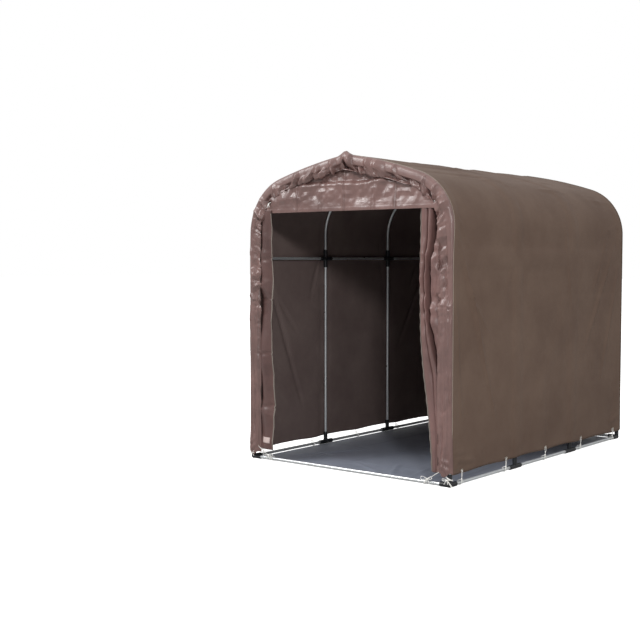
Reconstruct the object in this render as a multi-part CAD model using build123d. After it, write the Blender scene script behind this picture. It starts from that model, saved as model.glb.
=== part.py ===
from build123d import *
import math
import os

# A cycle shelter: a frame of steel pipes pushed into moulded joints, under a sewn cover
# that is open at the front. Millimetres. X runs across the entrance, the entrance faces -Y,
# and Z is up. The origin is on the ground in the middle of the plan.

# Overall size, over the cover
cover_width = 1520.0
cover_length = 2240.0

# Pipes and moulded joints
pipe_diameter = 19.1
joint_radius = 14.0
joint_ball_radius = 15.0
joint_bore_clearance = 0.2
pipe_end_clearance = 0.3
socket_stop = 12.0
arm_root = 3.0
sole_cut = 0.5
corner_arm = 62.0
tee_arm = 67.5
wall_joint_arm = 60.0
ridge_joint_arm = 58.0

# Arch of each hoop, measured on the pipe's centreline
spring_height = 1445.5
shoulder_radius = 330.0
eaves_slope = 18.0
ridge_slope = 10.0
ridge_straight = 75.0
purlin_drop = 162.5
bay_count = 3

# Bar that carries the door, clipped to the front hoop so far above the spring line
door_bar_rise = 154.5
clip_length = 58.0
clip_stop = 19.0
clip_arm = 36.0

# Cover
fabric = 2.0
cover_clearance = 0.3
cover_bottom = 68.0
band_width = 97.0
band_bottom = 75.0
band_overlap = 20.0
valance_drop = 35.0
hem_gap = 0.3

# Fixed strip beside the zip, on the left of the entrance
strip_width = 95.0
strip_bottom = 72.0

# Door, gathered to the right of the entrance and tucked in behind the band
curtain_width = 133.0
curtain_width_low = 63.0
curtain_tuck = 25.0
curtain_tuck_top = 1.0
curtain_taper_height = 1000.0
curtain_head_height = 50.0
curtain_bottom = 75.0
curtain_gap = 5.0
curtain_pleats = 6
pleat_depth = 44.0
pleat_skin = 4.5

# Ground sheet
floor_thickness = 2.5

# Tie cords, at even places along the sides and the rear, and one slanting in at each front corner
cord_diameter = 3.2
cord_clearance = 0.3
tie_height = 88.0
tie_bend = 8.0
tie_foot_bend = 3.0
side_tie_count = 5
side_tie_inset = 120.0
rear_tie_count = 4
rear_tie_inset = 170.0
front_tie_inset = 70.0
front_tie_slant = 115.0

# How far a cutting tool runs on past a face
overrun = 1.0

# Places that follow from the sizes above
pipe_radius = pipe_diameter / 2
bore_radius = pipe_radius + joint_bore_clearance
base_height = joint_radius - sole_cut
cover_inside = joint_ball_radius + cover_clearance
cover_outside = cover_inside + fabric
half_width = cover_width / 2 - cover_outside
half_length = cover_length / 2 - cover_outside
pipe_stop = socket_stop + pipe_end_clearance
purlin_height = spring_height - purlin_drop
door_bar_height = spring_height + door_bar_rise
valance_hem = door_bar_height - valance_drop
bay_length = 2 * half_length / bay_count
hoop_places = [-half_length + bay * bay_length for bay in range(bay_count + 1)]

# The arch turns about two centres, then runs straight to the ridge
shoulder_turn = 90.0 - eaves_slope
roof_turn = eaves_slope - ridge_slope
shoulder_x = half_width - shoulder_radius
eaves_x = shoulder_x + shoulder_radius * math.cos(math.radians(shoulder_turn))
ridge_run_x = ridge_straight * math.cos(math.radians(ridge_slope))
roof_radius = (eaves_x - ridge_run_x) / (
    math.sin(math.radians(eaves_slope)) - math.sin(math.radians(ridge_slope))
)
roof_centre_x = shoulder_x - (roof_radius - shoulder_radius) * math.cos(math.radians(shoulder_turn))
roof_centre_z = spring_height - (roof_radius - shoulder_radius) * math.sin(math.radians(shoulder_turn))


def on_shoulder(offset, turn):
    """A point beside the shoulder's centreline, turned up from the spring line."""
    reach = shoulder_radius + offset
    return (
        shoulder_x + reach * math.cos(math.radians(turn)),
        spring_height + reach * math.sin(math.radians(turn)),
    )


def on_roof(offset, turn):
    """A point beside the roof's centreline, turned on from the eaves."""
    reach = roof_radius + offset
    angle = math.radians(shoulder_turn + turn)
    return (roof_centre_x + reach * math.cos(angle), roof_centre_z + reach * math.sin(angle))


def on_ridge(offset):
    """The point over the middle of the plan where both slopes meet."""
    x, z = on_roof(offset, roof_turn)
    return (0.0, z + x * math.tan(math.radians(ridge_slope)))


ridge_height = on_ridge(0.0)[1]


def shoulder_arc(offset, start=0.0, end=shoulder_turn):
    middle = (start + end) / 2
    return ThreePointArc(on_shoulder(offset, start), on_shoulder(offset, middle), on_shoulder(offset, end))


def roof_arc(offset):
    return ThreePointArc(on_roof(offset, 0.0), on_roof(offset, roof_turn / 2), on_roof(offset, roof_turn))


def along_depth(outline, y_front, y_rear):
    """Extrude an outline, drawn as X across and Z up, from one depth to another."""
    return extrude(Plane.XZ.offset(-y_rear) * outline, amount=y_rear - y_front)


def rectangle_face(x_low, x_high, z_low, z_high):
    corners = [(x_low, z_low), (x_high, z_low), (x_high, z_high), (x_low, z_high)]
    return make_face(Polyline(*corners, close=True))


def rod(start, end, radius):
    """A round bar between two points."""
    run = Vector(*end) - Vector(*start)
    plane = Plane(origin=start, z_dir=run)
    return extrude(plane * Circle(radius), amount=run.length)


def mirrored(piece):
    return mirror(piece, about=Plane.YZ)


# Frame: pipes

def leg(side, y):
    """Upright pipe from the base joint to the wall joint."""
    x = side * half_width
    return rod((x, y, base_height + pipe_stop), (x, y, purlin_height - pipe_stop), pipe_radius)


def bow_path(y):
    """Centreline of the bent pipe on the right, from the wall joint to the ridge joint."""
    slope = math.radians(ridge_slope)
    top = (pipe_stop * math.cos(slope), ridge_height - pipe_stop * math.sin(slope))
    path = (
        Line((half_width, purlin_height + pipe_stop), on_shoulder(0.0, 0.0))
        + shoulder_arc(0.0)
        + roof_arc(0.0)
        + Line(on_roof(0.0, roof_turn), top)
    )
    return Plane.XZ.offset(-y) * path


def bow(side, y):
    path = bow_path(y)
    start = Plane(origin=path @ 0, z_dir=path % 0)
    pipe = sweep(start * Circle(pipe_radius), path=path)
    return pipe if side > 0 else mirrored(pipe)


def runs_along(x, z):
    """One pipe in each bay, between the joints of neighbouring hoops."""
    return [
        rod((x, front + pipe_stop, z), (x, rear - pipe_stop, z), pipe_radius)
        for front, rear in zip(hoop_places, hoop_places[1:])
    ]


def cross_rail(y):
    reach = half_width - pipe_stop
    return rod((-reach, y, base_height), (reach, y, base_height), pipe_radius)


# Frame: moulded joints with blind sockets

def moulded_joint(centre, directions, arm):
    """Arms that meet in a ball, each bored from its mouth down to the stop."""
    body = Sphere(joint_ball_radius)
    for direction in directions:
        body += rod(direction * arm_root, direction * arm, joint_radius)
    for direction in directions:
        body -= rod(direction * socket_stop, direction * (arm + overrun), bore_radius)
    return Pos(*centre) * body


def with_flat_sole(joint):
    """Cut the underside flat at ground level."""
    size = 4 * max(corner_arm, tee_arm)
    middle = joint.center()
    return joint - Pos(middle.X, middle.Y, -size / 2) * Box(size, size, size)


def along_y(y):
    """Directions of the pipes that run along the shelter from the hoop at this place."""
    directions = []
    if y > hoop_places[0]:
        directions.append(Vector(0, -1, 0))
    if y < hoop_places[-1]:
        directions.append(Vector(0, 1, 0))
    return directions


def corner_joint(side, y):
    directions = [Vector(-side, 0, 0), Vector(0, 0, 1)] + along_y(y)
    return with_flat_sole(moulded_joint((side * half_width, y, base_height), directions, corner_arm))


def base_tee(side, y):
    directions = [Vector(0, 0, 1)] + along_y(y)
    return with_flat_sole(moulded_joint((side * half_width, y, base_height), directions, tee_arm))


def wall_joint(side, y):
    directions = [Vector(0, 0, 1), Vector(0, 0, -1)] + along_y(y)
    return moulded_joint((side * half_width, y, purlin_height), directions, wall_joint_arm)


def ridge_joint(y):
    slope = math.radians(ridge_slope)
    down = [Vector(side * math.cos(slope), 0, -math.sin(slope)) for side in (-1, 1)]
    return moulded_joint((0, y, ridge_height), down + along_y(y), ridge_joint_arm)


# Door bar and the clips that hold it on the front hoop

door_bar_turn = math.degrees(math.asin(door_bar_rise / shoulder_radius))
clip_turn = math.degrees(clip_length / 2 / shoulder_radius)
door_bar_x = on_shoulder(0.0, door_bar_turn)[0]


def door_bar():
    reach = door_bar_x - clip_stop - pipe_end_clearance
    y = hoop_places[0]
    return rod((-reach, y, door_bar_height), (reach, y, door_bar_height), pipe_radius)


def door_bar_clip(side):
    """A sleeve that follows the bent pipe, with a socket for the end of the bar."""
    y = hoop_places[0]
    path = Plane.XZ.offset(-y) * shoulder_arc(0.0, door_bar_turn - clip_turn, door_bar_turn + clip_turn)
    start = Plane(origin=path @ 0, z_dir=path % 0)
    centre = (door_bar_x, y, door_bar_height)
    clip = sweep(start * Circle(joint_radius), path=path)
    clip += rod(centre, (door_bar_x - clip_arm, y, door_bar_height), joint_radius)
    clip -= sweep(start * Circle(bore_radius), path=path)
    stop = (door_bar_x - clip_stop, y, door_bar_height)
    clip -= rod(stop, (door_bar_x - clip_arm - overrun, y, door_bar_height), bore_radius)
    return clip if side > 0 else mirrored(clip)


# Cover

cover_front = -cover_length / 2
front_panel = cover_front + fabric
rear_panel = cover_length / 2 - fabric


def cover_side():
    wall = rectangle_face(half_width + cover_inside, half_width + cover_outside, cover_bottom, spring_height)
    return along_depth(wall, front_panel, rear_panel)


def cover_shoulder():
    section = make_face(
        shoulder_arc(cover_outside)
        + Line(on_shoulder(cover_outside, shoulder_turn), on_shoulder(cover_inside, shoulder_turn))
        + shoulder_arc(cover_inside)
        + Line(on_shoulder(cover_inside, 0.0), on_shoulder(cover_outside, 0.0))
    )
    return along_depth(section, front_panel, rear_panel)


def cover_roof():
    section = make_face(
        roof_arc(cover_outside)
        + Line(on_roof(cover_outside, roof_turn), on_ridge(cover_outside))
        + Line(on_ridge(cover_outside), on_ridge(cover_inside))
        + Line(on_ridge(cover_inside), on_roof(cover_inside, roof_turn))
        + roof_arc(cover_inside)
        + Line(on_roof(cover_inside, 0.0), on_roof(cover_outside, 0.0))
    )
    return along_depth(section, front_panel, rear_panel)


def half_gable(offset):
    """Everything under the arch on the right of the middle, above the spring line."""
    edge = (half_width + offset, spring_height)
    foot = (0.0, spring_height)
    return make_face(
        Line(foot, edge)
        + shoulder_arc(offset)
        + roof_arc(offset)
        + Line(on_roof(offset, roof_turn), on_ridge(offset))
        + Line(on_ridge(offset), foot)
    )


def whole_gable(offset):
    right = half_gable(offset)
    return right + mirror(right, about=Plane.YZ)


def cover_back():
    edge = half_width + cover_outside
    face = whole_gable(cover_outside) + rectangle_face(-edge, edge, cover_bottom, spring_height)
    return along_depth(face, rear_panel, rear_panel + fabric)


band_inside = cover_outside - band_width


def band_leg():
    face = rectangle_face(half_width + band_inside, half_width + cover_outside, band_bottom, spring_height)
    return along_depth(face, cover_front, front_panel)


def band_arch():
    return along_depth(half_gable(cover_outside) - half_gable(band_inside), cover_front, front_panel)


valance_edge = band_inside + band_overlap


def door_valance():
    above = rectangle_face(-half_width, half_width, valance_hem, cover_width + ridge_height)
    return along_depth(whole_gable(valance_edge) & above, front_panel, front_panel + fabric)


def door_strip():
    left = -(half_width + valance_edge)
    right = -(half_width + band_inside) + strip_width
    face = rectangle_face(left, right, strip_bottom, valance_hem - hem_gap)
    return along_depth(face, front_panel, front_panel + fabric)


def curtain_section(left, right, z):
    """Pleats of even width, as a strip of cloth seen from above."""
    pitch = (right - left) / (2 * curtain_pleats)
    swing = (pleat_depth - pleat_skin) / 2
    y_middle = front_panel + fabric + curtain_gap + pleat_depth / 2
    near = []
    far = []
    for fold in range(2 * curtain_pleats + 1):
        x = left + fold * pitch
        y = y_middle + (swing if fold % 2 else -swing)
        near.append((x, y - pleat_skin / 2))
        far.append((x, y + pleat_skin / 2))
    face = make_face(Polyline(*near, *reversed(far), close=True))
    return Pos(0, 0, z) * face


def door_curtain():
    edge = half_width + band_inside
    left = edge - curtain_width
    top = door_bar_height - pipe_radius - cover_clearance
    sections = [
        curtain_section(edge - curtain_width_low, edge + curtain_tuck, curtain_bottom),
        curtain_section(left, edge + curtain_tuck, curtain_taper_height),
        curtain_section(left, edge + curtain_tuck, top - curtain_head_height),
        curtain_section(left, edge + curtain_tuck_top, top),
    ]
    return loft(sections, ruled=True)


# Ground sheet, up to the round sides of the base joints

def floor_sheet():
    side_gap = math.sqrt(joint_ball_radius**2 - (base_height - floor_thickness) ** 2) + cover_clearance
    width = 2 * (half_width - side_gap)
    length = 2 * (half_length - side_gap)
    return Pos(0, 0, floor_thickness / 2) * Box(width, length, floor_thickness)


# Tie cords, from an eyelet in the hem down and round the base rail

def tie(slant=0.0):
    """Outer leg down the cover, a turn under the pipe, and back up inside. Made round the Y axis, facing +X."""
    radius = cord_diameter / 2
    wrap = pipe_radius + cord_clearance + radius
    outer = cover_outside + cord_clearance + radius
    inner = cover_inside - fabric - cord_clearance - radius
    eyelet = tie_height - base_height
    below_hem = cover_bottom - base_height - 2 * cord_diameter
    points = [
        (outer, slant, eyelet),
        (outer, slant * below_hem / eyelet, below_hem),
        (wrap, 0.0, 0.0),
        (wrap, 0.0, -wrap),
        (-wrap, 0.0, -wrap),
        (-wrap, 0.0, wrap),
        (inner, slant, eyelet),
    ]
    bend = wrap * 0.95
    path = FilletPolyline(*points, radius=[tie_bend, tie_foot_bend, bend, bend, tie_bend])
    start = Plane(origin=path @ 0, z_dir=path % 0)
    return sweep(start * Circle(radius), path=path)


def evenly(length, inset, count):
    """Places along a side, the first and last so far in from its ends."""
    span = length - 2 * inset
    return [number * span / (count - 1) - span / 2 for number in range(count)]


def side_ties():
    places = evenly(cover_length, side_tie_inset, side_tie_count)
    return [Pos(half_width, y, base_height) * tie() for y in places]


def rear_ties():
    places = evenly(cover_width, rear_tie_inset, rear_tie_count)
    return [Pos(x, half_length, base_height) * Rot(0, 0, 90) * tie() for x in places]


def front_ties():
    x = cover_width / 2 - front_tie_inset - front_tie_slant
    right = Pos(x, -half_length, base_height) * Rot(0, 0, -90) * tie(front_tie_slant)
    return [right, mirrored(right)]


def pieces():
    """Every node by its name, as one solid or a list of solids that don't touch."""
    front = hoop_places[0]
    rear = hoop_places[-1]
    hoop_names = ["front", "second", "third", "rear"]
    made = {}
    for name, y in zip(hoop_names, hoop_places):
        made[f"hoop_legs_{name}"] = [leg(side, y) for side in (-1, 1)]
        made[f"hoop_bows_{name}"] = [bow(side, y) for side in (-1, 1)]
    for word, side in (("left", -1), ("right", 1)):
        made[f"side_purlin_{word}"] = runs_along(side * half_width, purlin_height)
        made[f"base_rail_{word}"] = runs_along(side * half_width, base_height)
        made[f"wall_joints_{word}"] = [wall_joint(side, y) for y in hoop_places]
        made[f"base_tees_{word}"] = [base_tee(side, y) for y in hoop_places[1:-1]]
        made[f"corner_joint_front_{word}"] = [corner_joint(side, front)]
        made[f"corner_joint_rear_{word}"] = [corner_joint(side, rear)]
        made[f"tie_cords_{word}"] = side_ties() if side > 0 else [mirrored(cord) for cord in side_ties()]
    made["ridge_purlin"] = runs_along(0.0, ridge_height)
    made["ridge_joints"] = [ridge_joint(y) for y in hoop_places]
    made["base_rail_front"] = [cross_rail(front)]
    made["base_rail_rear"] = [cross_rail(rear)]
    made["door_bar"] = [door_bar()]
    made["door_bar_clips"] = [door_bar_clip(side) for side in (-1, 1)]
    for name, make in (
        ("cover_side", cover_side),
        ("cover_shoulder", cover_shoulder),
        ("cover_roof", cover_roof),
        ("band_leg", band_leg),
        ("band_arch", band_arch),
    ):
        right = make()
        made[f"{name}_right"] = [right]
        made[f"{name}_left"] = [mirrored(right)]
    made["tie_cords_front"] = front_ties()
    made["tie_cords_rear"] = rear_ties()
    made["cover_back"] = [cover_back()]
    made["door_valance"] = [door_valance()]
    made["door_strip"] = [door_strip()]
    made["door_curtain"] = [door_curtain()]
    made["floor_sheet"] = [floor_sheet()]
    return made


os.makedirs("parts", exist_ok=True)
for name, solids in pieces().items():
    shape = solids[0] if len(solids) == 1 else Compound(children=list(solids))
    export_step(shape, f"parts/{name}.step")
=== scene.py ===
import math

import bmesh
import bpy
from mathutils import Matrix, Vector, noise


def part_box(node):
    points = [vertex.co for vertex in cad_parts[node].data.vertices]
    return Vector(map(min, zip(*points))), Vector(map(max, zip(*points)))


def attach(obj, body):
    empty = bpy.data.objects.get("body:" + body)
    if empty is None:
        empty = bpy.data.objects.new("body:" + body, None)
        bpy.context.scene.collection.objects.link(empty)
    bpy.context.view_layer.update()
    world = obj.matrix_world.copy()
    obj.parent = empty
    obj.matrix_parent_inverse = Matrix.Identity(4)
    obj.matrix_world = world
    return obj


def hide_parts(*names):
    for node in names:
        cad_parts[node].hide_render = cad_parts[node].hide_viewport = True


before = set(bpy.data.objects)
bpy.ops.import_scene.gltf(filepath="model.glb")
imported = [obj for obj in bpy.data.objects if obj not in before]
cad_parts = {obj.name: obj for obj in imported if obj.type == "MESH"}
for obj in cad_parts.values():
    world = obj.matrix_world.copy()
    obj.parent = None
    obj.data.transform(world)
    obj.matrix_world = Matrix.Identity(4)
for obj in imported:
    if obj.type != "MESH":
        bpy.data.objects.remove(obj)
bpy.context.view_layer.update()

scene = bpy.context.scene

# Sizes read from the frame, in metres

leg_low, leg_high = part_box("hoop_legs_front")
purlin_low, purlin_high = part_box("side_purlin_right")
bar_low, bar_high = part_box("door_bar")
side_low, side_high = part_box("cover_side_right")
shoulder_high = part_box("cover_shoulder_right")[1]
back_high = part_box("cover_back")[1]
band_low, band_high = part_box("band_leg_right")
valance_low, valance_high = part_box("door_valance")
strip_low, strip_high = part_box("door_strip")
curtain_low, curtain_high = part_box("door_curtain")
floor_low, floor_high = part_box("floor_sheet")
ties_low, ties_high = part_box("tie_cords_right")

pipe_radius = (leg_high.y - leg_low.y) / 2
half_width = leg_high.x - pipe_radius
front_hoop = (leg_high.y + leg_low.y) / 2
rear_hoop = -front_hoop
purlin_height = (purlin_low.z + purlin_high.z) / 2
bar_height = (bar_low.z + bar_high.z) / 2
base_height = pipe_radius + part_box("base_rail_right")[0].z
cover_outside = side_high.x - half_width
spring_height = side_high.z
hem_height = side_low.z
band_bottom = band_low.z
band_width = band_high.x - band_low.x
skin = 0.0012
bays = 3
hoops = [front_hoop + number * (rear_hoop - front_hoop) / bays for number in range(bays + 1)]

# The arch: an upright side, a tight shoulder, a long flat roof curve and a short straight at the ridge
eaves_slope = math.radians(18)
ridge_slope = math.radians(10)
ridge_straight = 0.075
shoulder_turn = math.pi / 2 - eaves_slope
roof_turn = eaves_slope - ridge_slope
shoulder_radius = (shoulder_high.z - spring_height) / math.sin(shoulder_turn) - cover_outside
shoulder_x = half_width - shoulder_radius
eaves_x = shoulder_x + shoulder_radius * math.cos(shoulder_turn)
roof_radius = (eaves_x - ridge_straight * math.cos(ridge_slope)) / (
    math.sin(eaves_slope) - math.sin(ridge_slope)
)
roof_x = shoulder_x - (roof_radius - shoulder_radius) * math.cos(shoulder_turn)
roof_z = spring_height - (roof_radius - shoulder_radius) * math.sin(shoulder_turn)
roof_run = roof_radius * roof_turn
shoulder_run = shoulder_radius * shoulder_turn
top_run = ridge_straight + roof_run + shoulder_run
ridge_foot = roof_z + roof_radius * math.sin(shoulder_turn + roof_turn)
ridge_height = ridge_foot + ridge_straight * math.sin(ridge_slope)


def arch(run):
    """Where the hoop's centreline is, and which way is out. Run is 0 at the ridge, more to the right."""
    side = 1 if run >= 0 else -1
    along = abs(run)
    if along < ridge_straight:
        x = along * math.cos(ridge_slope)
        z = ridge_height - along * math.sin(ridge_slope)
        turn = math.pi / 2 - ridge_slope
    elif along < ridge_straight + roof_run:
        turn = shoulder_turn + roof_turn - (along - ridge_straight) / roof_radius
        x = roof_x + roof_radius * math.cos(turn)
        z = roof_z + roof_radius * math.sin(turn)
    elif along < top_run:
        turn = shoulder_turn - (along - ridge_straight - roof_run) / shoulder_radius
        x = shoulder_x + shoulder_radius * math.cos(turn)
        z = spring_height + shoulder_radius * math.sin(turn)
    else:
        turn = 0.0
        x = half_width
        z = spring_height - (along - top_run)
    return Vector((side * x, 0, z)), Vector((side * math.cos(turn), 0, math.sin(turn)))


def outline_height(x, offset):
    """Height of the arch over a place across the entrance, for an outline that far outside the hoop."""
    x = abs(x)
    if x <= ridge_straight * math.cos(ridge_slope):
        return ridge_height + offset / math.cos(ridge_slope) - x * math.tan(ridge_slope)
    reach = roof_radius + offset
    if x <= shoulder_x + (shoulder_radius + offset) * math.cos(shoulder_turn):
        return roof_z + math.sqrt(reach**2 - (x - roof_x) ** 2)
    reach = shoulder_radius + offset
    return spring_height + math.sqrt(max(0.0, reach**2 - (x - shoulder_x) ** 2))


# Small tools for cloth

def smooth(low, high, value):
    """0 below low, 1 above high, and an even ramp between."""
    t = min(1.0, max(0.0, (value - low) / (high - low)))
    return t * t * (3 - 2 * t)


def ripple(*place):
    """Smooth noise from -1 to 1."""
    return noise.noise(Vector(place))


def crease(value, centre, width):
    """1 on a line and 0 a width or more away from it."""
    return max(0.0, 1 - abs(value - centre) / width) ** 2


def fold_line(a, b, start, end, width):
    """How near a place on a cloth is to a fold that runs from start to end, tapering to both."""
    run = (end[0] - start[0], end[1] - start[1])
    length = math.hypot(*run)
    along = ((a - start[0]) * run[0] + (b - start[1]) * run[1]) / length**2
    if along <= 0 or along >= 1:
        return 0.0
    off = abs((a - start[0]) * run[1] - (b - start[1]) * run[0]) / length
    return math.exp(-((off / width) ** 2)) * math.sin(math.pi * along) ** 0.6


def folded(a, b, folds):
    """Height of a cloth's folds at one place, each fold given by its start, end, width and height."""
    return sum(height * fold_line(a, b, start, end, width) for start, end, width, height in folds)


def pressed(value, lines, width):
    """1 on any of the lines pressed into a cloth and 0 a width or more away from them."""
    return sum(crease(value, line, width) for line in lines)


def facets(a, b, size, seed):
    """Height from -1 to 1 of crumpled stiff cloth: flat facets that meet in sharp creases."""
    bent = 0.35 * size
    a += bent * ripple(a / size * 0.6, b / size * 0.6, seed)
    b += bent * ripple(a / size * 0.6, b / size * 0.6, seed + 5.5)
    row = 2 * b / (size * math.sqrt(3))
    column = a / size - row / 2
    i, j = math.floor(column), math.floor(row)
    u, v = column - i, row - j

    def corner(right, up):
        return noise.cell(Vector((i + right + 0.5, j + up + 0.5, seed))) * 2 - 1

    if u + v < 1:
        return corner(0, 0) * (1 - u - v) + corner(1, 0) * u + corner(0, 1) * v
    return corner(1, 1) * (u + v - 1) + corner(1, 0) * (1 - v) + corner(0, 1) * (1 - u)


def new_piece(name, mesh):
    piece = bpy.data.objects.new(name, mesh)
    scene.collection.objects.link(piece)
    return piece


def cloth(name, columns, rows, place, flat):
    """A grid of cloth whose points go where place says, with a map in metres of the flat cloth."""
    made = bmesh.new()
    bmesh.ops.create_grid(made, x_segments=columns, y_segments=rows, size=0.5)
    chart = made.loops.layers.uv.new("cloth")
    for face in made.faces:
        for loop in face.loops:
            across = loop.vert.co.x + 0.5
            along = loop.vert.co.y + 0.5
            loop[chart].uv = (across * flat[0], along * flat[1])
    for vertex in made.verts:
        vertex.co = place(vertex.co.x + 0.5, vertex.co.y + 0.5)
    mesh = bpy.data.meshes.new(name)
    made.to_mesh(mesh)
    made.free()
    mesh.shade_smooth()
    return new_piece(name, mesh)


def thicken(piece, thickness, inner=False):
    """Give cloth its thickness inwards; the reverse and the cut edge can take a material each."""
    solid = piece.modifiers.new("thickness", "SOLIDIFY")
    solid.thickness = thickness
    solid.offset = -1
    solid.use_rim = True
    if inner:
        solid.material_offset = 1
        solid.material_offset_rim = 2
    return piece


def tube(name, points, radius, ring=8, closed=False):
    """A round cord or wire along a smooth curve through its control points, as a mesh."""
    curve = bpy.data.curves.new(name, "CURVE")
    curve.dimensions = "3D"
    curve.bevel_depth = radius
    curve.bevel_resolution = ring // 4
    curve.use_fill_caps = True
    curve.resolution_u = 6
    spline = curve.splines.new("NURBS")
    spline.points.add(len(points) - 1)
    for knot, point in zip(spline.points, points):
        knot.co = (*point, 1)
    spline.order_u = 3
    spline.use_endpoint_u = not closed
    spline.use_cyclic_u = closed
    carrier = bpy.data.objects.new(name, curve)
    mesh = bpy.data.meshes.new_from_object(carrier)
    mesh.name = name
    bpy.data.objects.remove(carrier)
    mesh.shade_smooth()
    return mesh


def joined(name, meshes):
    """Several meshes as one piece."""
    made = bmesh.new()
    for mesh in meshes:
        made.from_mesh(mesh)
        bpy.data.meshes.remove(mesh)
    mesh = bpy.data.meshes.new(name)
    made.to_mesh(mesh)
    made.free()
    mesh.shade_smooth()
    return new_piece(name, mesh)


# Materials

def linear(code):
    """An sRGB hex colour as linear red, green, blue and alpha."""
    levels = [int(code[place : place + 2], 16) / 255 for place in (1, 3, 5)]
    return [c / 12.92 if c <= 0.04045 else ((c + 0.055) / 1.055) ** 2.4 for c in levels] + [1.0]


def node(tree, kind, settings=None, links=None):
    """Add a node, set its properties and sockets, and link other nodes' outputs to its inputs."""
    made = tree.nodes.new(kind)
    for key, value in (settings or {}).items():
        if isinstance(key, str) and hasattr(made, key):
            setattr(made, key, value)
        else:
            made.inputs[key].default_value = value
    for key, source in (links or {}).items():
        tree.links.new(source, made.inputs[key])
    return made


def wave_scale(pitch):
    """Scale that gives a wave texture one band for each pitch in metres."""
    return 1 / pitch / (2 * math.pi)


def new_material(name):
    material = bpy.data.materials.new(name)
    material.use_nodes = True
    tree = material.node_tree
    tree.nodes.clear()
    shader = node(tree, "ShaderNodeBsdfPrincipled")
    output = node(tree, "ShaderNodeOutputMaterial", links={"Surface": shader.outputs[0]})
    output.location = (400, 0)
    return material, tree, shader


# Threads are 0.5 mm apart on the real cloth, drawn 3 mm apart so that they show at all
thread_pitch = 0.003
thread_relief = 0.0006
crumple_relief = 0.006
vinyl_ior = 1.46


def coated_cloth(name, light, dark, rough, crumple, shine):
    """Polyester weave with a soft vinyl coating.

    It gives an even colour with slow clouds, a faint thread grid, small crumples and a broad satin gloss.
    """
    material, tree, shader = new_material(name)
    chart = node(tree, "ShaderNodeUVMap", {"uv_map": "cloth"}).outputs[0]
    place = node(tree, "ShaderNodeTexCoord").outputs["Object"]
    cloud = node(
        tree, "ShaderNodeTexNoise", {"Scale": 3.0, "Detail": 6.0, "Roughness": 0.6}, {"Vector": place}
    )
    spread = node(
        tree, "ShaderNodeMapRange", {"From Min": 0.35, "From Max": 0.65}, {"Value": cloud.outputs["Fac"]}
    )
    fade = node(tree, "ShaderNodeMix", {"data_type": "RGBA", 6: linear(light), 7: linear(dark)})
    tree.links.new(spread.outputs[0], fade.inputs[0])
    tree.links.new(fade.outputs[2], shader.inputs["Base Color"])
    threads = []
    for direction in ("X", "Y"):
        wave = node(
            tree,
            "ShaderNodeTexWave",
            {
                "bands_direction": direction,
                "Scale": wave_scale(thread_pitch),
                "Distortion": 0.6,
                "Detail": 1.0,
            },
            {"Vector": chart},
        )
        threads.append(wave.outputs["Fac"])
    weave = node(tree, "ShaderNodeMath", {"operation": "MULTIPLY"}, {0: threads[0], 1: threads[1]})
    handling = node(
        tree, "ShaderNodeTexNoise", {"Scale": 30.0, "Detail": 5.0, "Roughness": 0.55}, {"Vector": place}
    )
    low = node(
        tree, "ShaderNodeBump", {"Strength": 0.2, "Distance": thread_relief}, {"Height": weave.outputs[0]}
    )
    high = node(
        tree,
        "ShaderNodeBump",
        {"Strength": crumple, "Distance": crumple_relief},
        {"Height": handling.outputs["Fac"], "Normal": low.outputs[0]},
    )
    tree.links.new(high.outputs[0], shader.inputs["Normal"])
    gloss = node(
        tree,
        "ShaderNodeMapRange",
        {"To Min": rough - 0.06, "To Max": rough + 0.06},
        {"Value": handling.outputs["Fac"]},
    )
    tree.links.new(gloss.outputs[0], shader.inputs["Roughness"])
    shader.inputs["IOR"].default_value = vinyl_ior
    shader.inputs["Specular IOR Level"].default_value = shine
    return material


def plain_weave(name, light, dark, pitch):
    """Uncoated woven tape or binding: matt, with ribs at its own pitch across its length."""
    material, tree, shader = new_material(name)
    place = node(tree, "ShaderNodeTexCoord").outputs["Object"]
    ribs = node(
        tree,
        "ShaderNodeTexWave",
        {"bands_direction": "Z", "Scale": wave_scale(pitch), "Distortion": 0.3},
        {"Vector": place},
    )
    fade = node(tree, "ShaderNodeMix", {"data_type": "RGBA", 6: linear(light), 7: linear(dark)})
    tree.links.new(ribs.outputs["Fac"], fade.inputs[0])
    tree.links.new(fade.outputs[2], shader.inputs["Base Color"])
    bump = node(
        tree, "ShaderNodeBump", {"Strength": 0.5, "Distance": 0.0006}, {"Height": ribs.outputs["Fac"]}
    )
    tree.links.new(bump.outputs[0], shader.inputs["Normal"])
    shader.inputs["Roughness"].default_value = 0.8
    return material


def galvanised_steel():
    """Thin steel tube with a pale zinc coat: nearly white, with a faint spangle and soft reflections."""
    material, tree, shader = new_material("galvanised_steel_tube")
    place = node(tree, "ShaderNodeTexCoord").outputs["Object"]
    spangle = node(tree, "ShaderNodeTexVoronoi", {"Scale": 160.0}, {"Vector": place})
    streak = node(tree, "ShaderNodeTexNoise", {"Scale": 14.0, "Detail": 5.0}, {"Vector": place})
    both = node(
        tree,
        "ShaderNodeMath",
        {"operation": "MULTIPLY"},
        {0: spangle.outputs["Color"], 1: streak.outputs["Fac"]},
    )
    fade = node(tree, "ShaderNodeMix", {"data_type": "RGBA", 6: linear("#e3e6e8"), 7: linear("#c3c8cb")})
    tree.links.new(both.outputs[0], fade.inputs[0])
    tree.links.new(fade.outputs[2], shader.inputs["Base Color"])
    rough = node(
        tree, "ShaderNodeMapRange", {"To Min": 0.22, "To Max": 0.38}, {"Value": streak.outputs["Fac"]}
    )
    tree.links.new(rough.outputs[0], shader.inputs["Roughness"])
    shader.inputs["Metallic"].default_value = 0.7
    return material


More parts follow.
